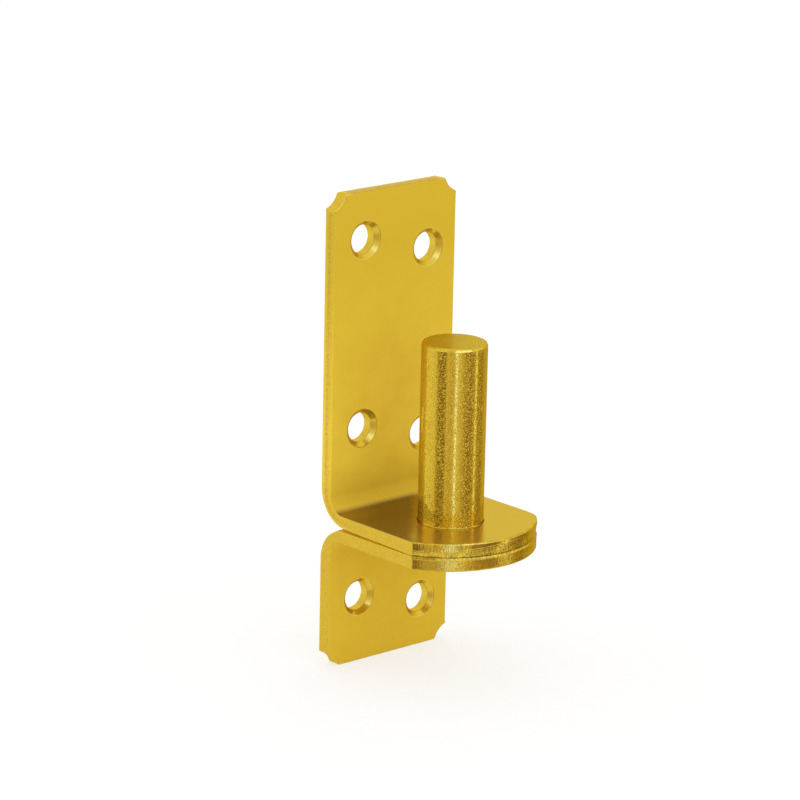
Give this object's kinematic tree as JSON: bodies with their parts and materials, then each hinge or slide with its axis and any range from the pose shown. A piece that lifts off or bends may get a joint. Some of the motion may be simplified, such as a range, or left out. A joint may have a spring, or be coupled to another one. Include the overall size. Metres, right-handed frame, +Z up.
{
  "type": "gate hinge pin",
  "caption": "Fixed gate hinge pin: two bent strips with countersunk staggered holes meet as a round-nosed shelf that carries a riveted upright pin.",
  "frame": {"origin": "on the pin's axis, on the shelf's upper face, where a gate's eye rests", "axes": "+Z up along the pin; +Y towards the wall or post; +X to the right seen from the front"},
  "size_m": [0.039, 0.0452, 0.1185],
  "materials": {
    "plate_steel": "pressed steel strip, zinc plated and passivated golden yellow, satin",
    "pin_steel": "turned steel bar, zinc plated and passivated golden yellow, brighter than the strip"
  },
  "bodies": {
    "root": {"upper_plate": "plate_steel", "lower_plate": "plate_steel", "hinge_pin": "pin_steel"}
  },
  "joints": []
}
